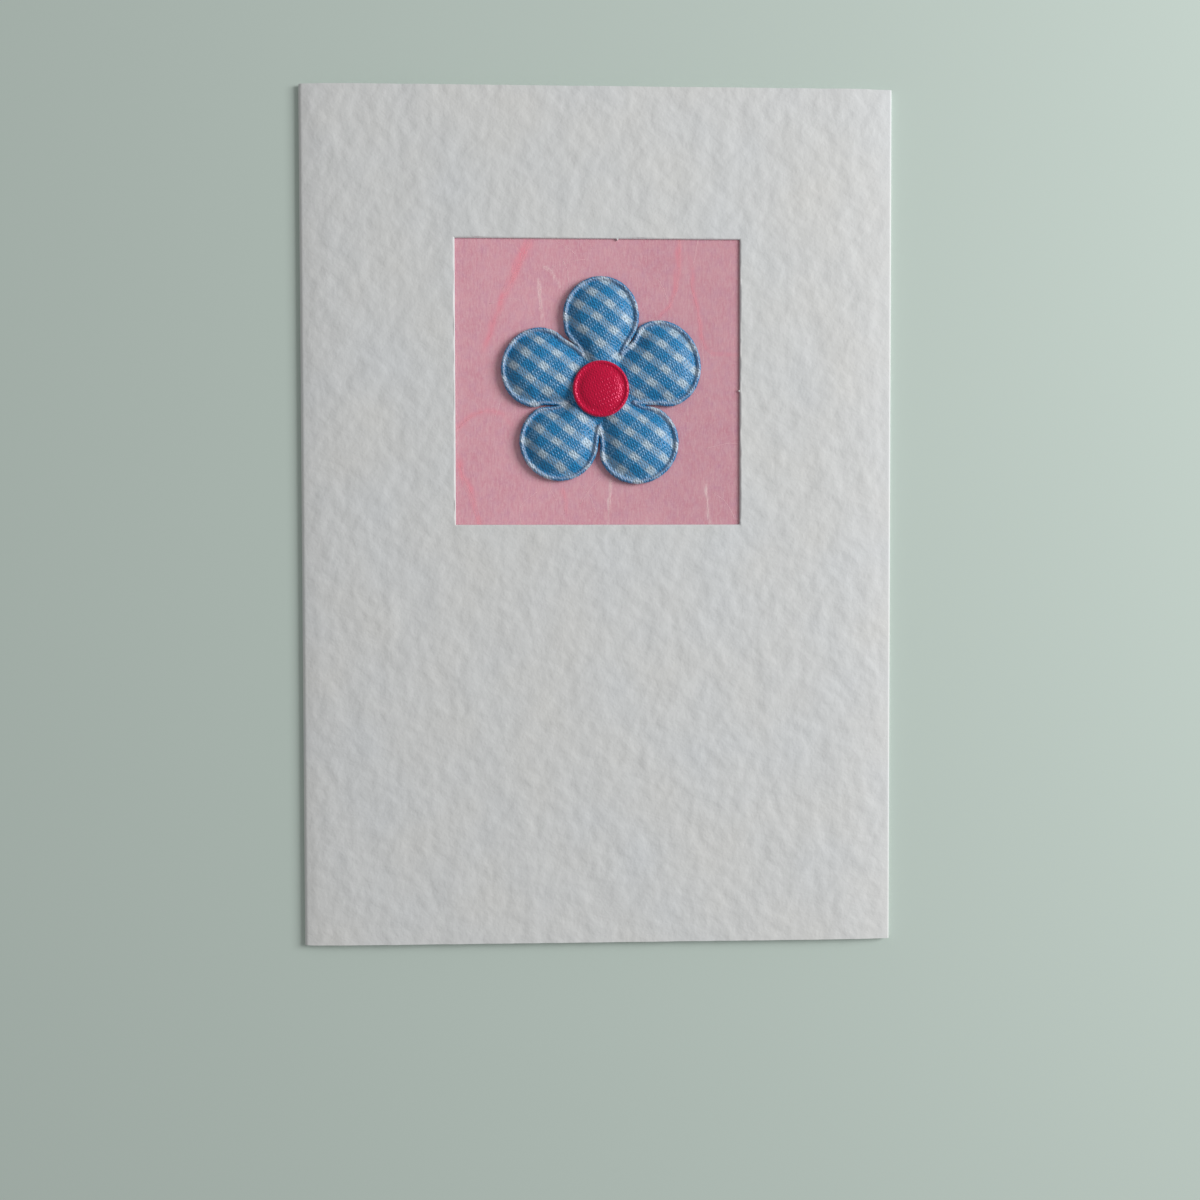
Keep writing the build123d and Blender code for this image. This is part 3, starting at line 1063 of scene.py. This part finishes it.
# Tape and adhesive, hidden inside the card
hidden = {
    "tape": "#E9E4D6",
    "tapeRoughness": 0.6,
    "adhesive": "#DAD8CC",
    "adhesiveRoughness": 0.25,
    "cloudSize": 1.25,  # mm
    "deepShare": 0.9,
}


def plainLayer(name, code, roughness):
    material, tree = newMaterial(name)  # thin layer, a little cloudy
    cloud = noiseAt(tree, coordsInMm(tree), 1 / hidden["cloudSize"], 3.0)
    full = hexToLinear(code)
    colour = mixColour(tree, cloud, full, darker(full, hidden["deepShare"]))
    finishSurface(tree, {"Base Color": colour, "Roughness": roughness, "IOR": 1.47})
    return material


tapeMaterial = plainLayer("paper tape", hidden["tape"], hidden["tapeRoughness"])
glueMaterial = plainLayer("clear adhesive", hidden["adhesive"], hidden["adhesiveRoughness"])
for name in ("tape_top", "tape_bottom", "tape_left", "tape_right", "glue_dot"):
    materials = cadNodes[name].data.materials
    materials.clear()
    materials.append(glueMaterial if name == "glue_dot" else tapeMaterial)
print("hidden layers finished")


# Floor and light
studio = {
    "floor": "#C8D6CE",
    "floorSize": 1.5,  # m
    "floorClouds": 100.0,  # mm
    "floorDeepShare": 0.98,
    "keyPlace": (0.594, 0.15, 0.378),  # m
    "keyAim": (0, 0.01, 0),
    "keySize": 0.34,
    "keyPower": 4.6,
    "ambient": 0.31,
}


def paleFloor(s):
    material, tree = newMaterial("pale floor")  # plain matt sheet
    cloud = noiseAt(tree, coordsInMm(tree), 1 / s["floorClouds"], 1.0)
    full = hexToLinear(s["floor"])
    colour = mixColour(tree, cloud, full, darker(full, s["floorDeepShare"]))
    finishSurface(tree, {"Base Color": colour, "Roughness": 0.9, "Specular IOR Level": 0.1})
    return material


floorBm = bmesh.new()
bmesh.ops.create_grid(floorBm, x_segments=2, y_segments=2, size=studio["floorSize"] / 2)
floorMesh = bpy.data.meshes.new("floor")
floorBm.to_mesh(floorMesh)
floorBm.free()
floorMesh.materials.append(paleFloor(studio))
floor = bpy.data.objects.new("floor", floorMesh)
scene.collection.objects.link(floor)

keyData = bpy.data.lights.new("window light", "AREA")
keyData.size = studio["keySize"]
keyData.energy = studio["keyPower"]
key = bpy.data.objects.new("window light", keyData)
key.location = studio["keyPlace"]
aim = Vector(studio["keyAim"]) - Vector(studio["keyPlace"])
key.rotation_euler = aim.to_track_quat("-Z", "Y").to_euler()
scene.collection.objects.link(key)

world = bpy.data.worlds.new("soft room")
world.use_nodes = True
background = world.node_tree.nodes["Background"]
background.inputs["Color"].default_value = (1, 1, 1, 1)
background.inputs["Strength"].default_value = studio["ambient"]
scene.world = world
scene.view_settings.view_transform = "Standard"
print("studio lit")
